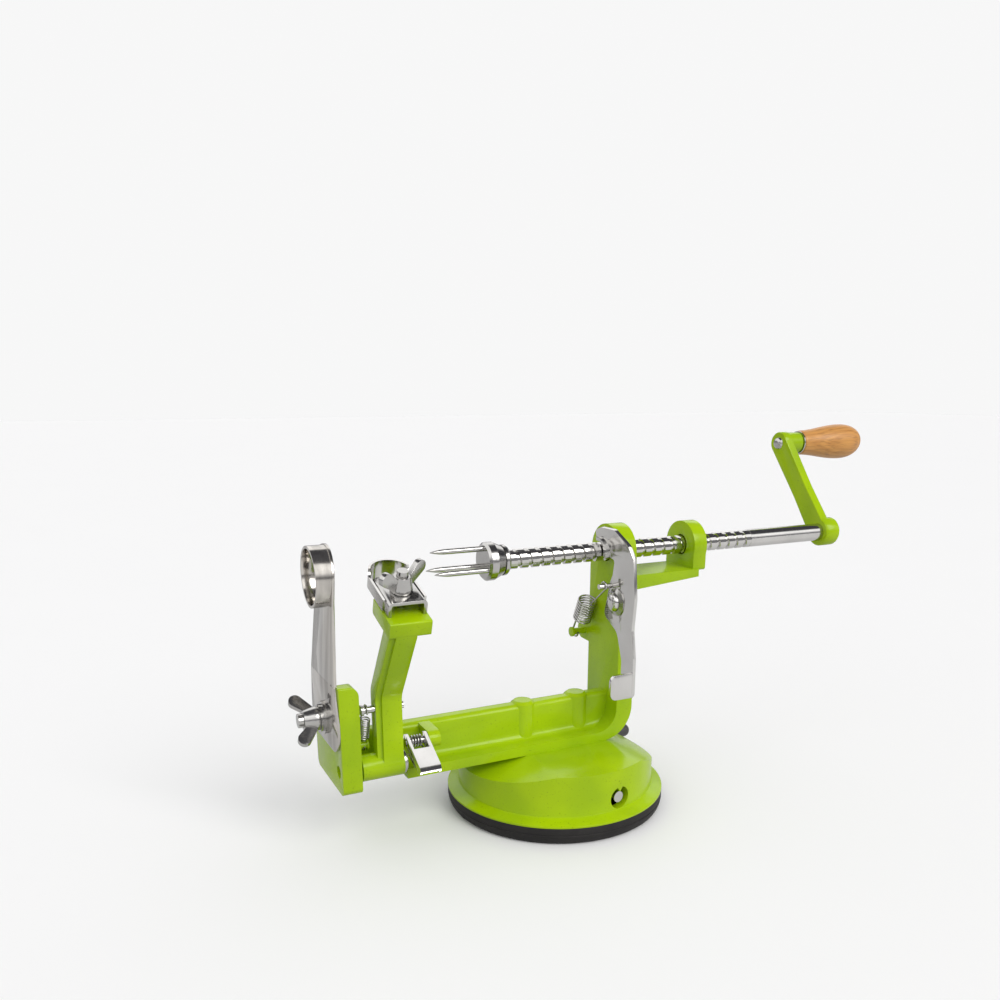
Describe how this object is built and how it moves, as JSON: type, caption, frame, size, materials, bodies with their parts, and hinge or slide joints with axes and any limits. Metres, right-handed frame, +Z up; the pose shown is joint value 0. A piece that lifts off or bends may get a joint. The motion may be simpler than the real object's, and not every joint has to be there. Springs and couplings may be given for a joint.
{
  "type": "hand-cranked apple peeler",
  "caption": "Hand-cranked apple peeler, corer and slicer on a suction foot, with a worm-fed fork, sprung peeling arm and coring slicer.",
  "frame": {"origin": "centre of the suction foot's flat underside, on the table", "axes": "+X along the worm shaft from the slicer to the crank, +Y from the peeling arm's side to the far side, +Z up"},
  "size_m": [0.3275, 0.1, 0.1666],
  "materials": {
    "paint": "gloss",
    "chrome": "polished",
    "steel": "plated",
    "rubber": "matte",
    "grip": "satin",
    "wood": "varnished"
  },
  "bodies": {
    "frame": {"base_housing": "paint", "base_screws": "steel", "suction_cup": "rubber", "frame_casting": "paint", "lever_rivet": "chrome", "lever_spring": "steel", "arm_pivot_pin": "steel", "arm_washer": "steel", "arm_clip": "steel", "arm_spring": "steel", "latch_pin": "steel", "latch_spring": "steel", "slicer_blade": "chrome", "slicer_bolt": "steel", "slicer_washers": "steel"},
    "feed": {"fork_collar": "steel"},
    "shaft": {"worm_shaft": "chrome", "fork_hub": "steel", "fork_tines": "steel", "crank_arm": "paint", "knob_pin": "steel", "knob_washer": "steel"},
    "knob": {"knob": "wood"},
    "release_lever": {"release_lever": "chrome", "lever_washer": "steel"},
    "peel_arm": {"peel_arm": "paint", "spring_pin": "steel", "blade_bracket": "steel", "peel_blade": "chrome", "blade_stud": "steel"},
    "blade_nut": {"blade_wing_nut": "steel"},
    "latch": {"arm_latch": "chrome"},
    "slicer_nut": {"slicer_wing_nut": "steel"},
    "suction_lever": {"cam_shaft": "chrome", "suction_lever": "chrome", "lever_grip": "grip"},
    "cup_stem": {"cup_stem": "steel"}
  },
  "joints": [
    {"name": "crank_spin", "type": "hinge", "parent": "feed", "child": "shaft", "pos_m": [0, 0, 0.115], "axis": [1, 0, 0], "range_deg": [-2520, 2520]},
    {"name": "feed_slide", "type": "slide", "parent": "frame", "child": "feed", "axis": [1, 0, 0], "range_m": [-0.0372, 0.0372]},
    {"name": "knob_spin", "type": "hinge", "parent": "shaft", "child": "knob", "pos_m": [0.165, 0.03332, 0.15749], "axis": [1, 0, 0], "continuous": true},
    {"name": "lever_release", "type": "hinge", "parent": "frame", "child": "release_lever", "pos_m": [0.0233, -0.0124, 0.0941], "axis": [1, 0, 0], "range_deg": [0, 13], "stiffness_Nm_per_rad": 0.5, "springref_deg": -8.59, "deforming": ["lever_spring"]},
    {"name": "arm_swing", "type": "hinge", "parent": "frame", "child": "peel_arm", "pos_m": [-0.0905, -0.014, 0.038], "axis": [1, 0, 0], "range_deg": [0, 65], "stiffness_Nm_per_rad": 0.15, "springref_deg": -28.65, "deforming": ["arm_spring"]},
    {"name": "blade_nut_spin", "type": "hinge", "parent": "peel_arm", "child": "blade_nut", "pos_m": [-0.0831, -0.03005, 0.11316], "axis": [0, -0.309, 0.9511], "continuous": true},
    {"name": "latch_press", "type": "hinge", "parent": "frame", "child": "latch", "pos_m": [-0.073, -0.013, 0.0453], "axis": [1, 0, 0], "range_deg": [0, 15], "stiffness_Nm_per_rad": 0.02, "springref_deg": -17.19, "deforming": ["latch_spring"]},
    {"name": "slicer_nut_spin", "type": "hinge", "parent": "frame", "child": "slicer_nut", "pos_m": [-0.1098, 0, 0.057], "axis": [-1, 0, 0], "continuous": true},
    {"name": "suction_turn", "type": "hinge", "parent": "frame", "child": "suction_lever", "pos_m": [0, 0, 0.016], "axis": [0.1736, -0.9848, 0], "range_deg": [0, 80.5]},
    {"name": "cup_lift", "type": "slide", "parent": "frame", "child": "cup_stem", "axis": [0, 0, 1], "range_m": [0, 0.00198]}
  ],
  "couplings": [
    {"joint": "feed_slide", "follows": "crank_spin", "m_per_rad": 0.00084352},
    {"joint": "suction_turn", "follows": "cup_lift", "rad_per_m": 704.03}
  ]
}
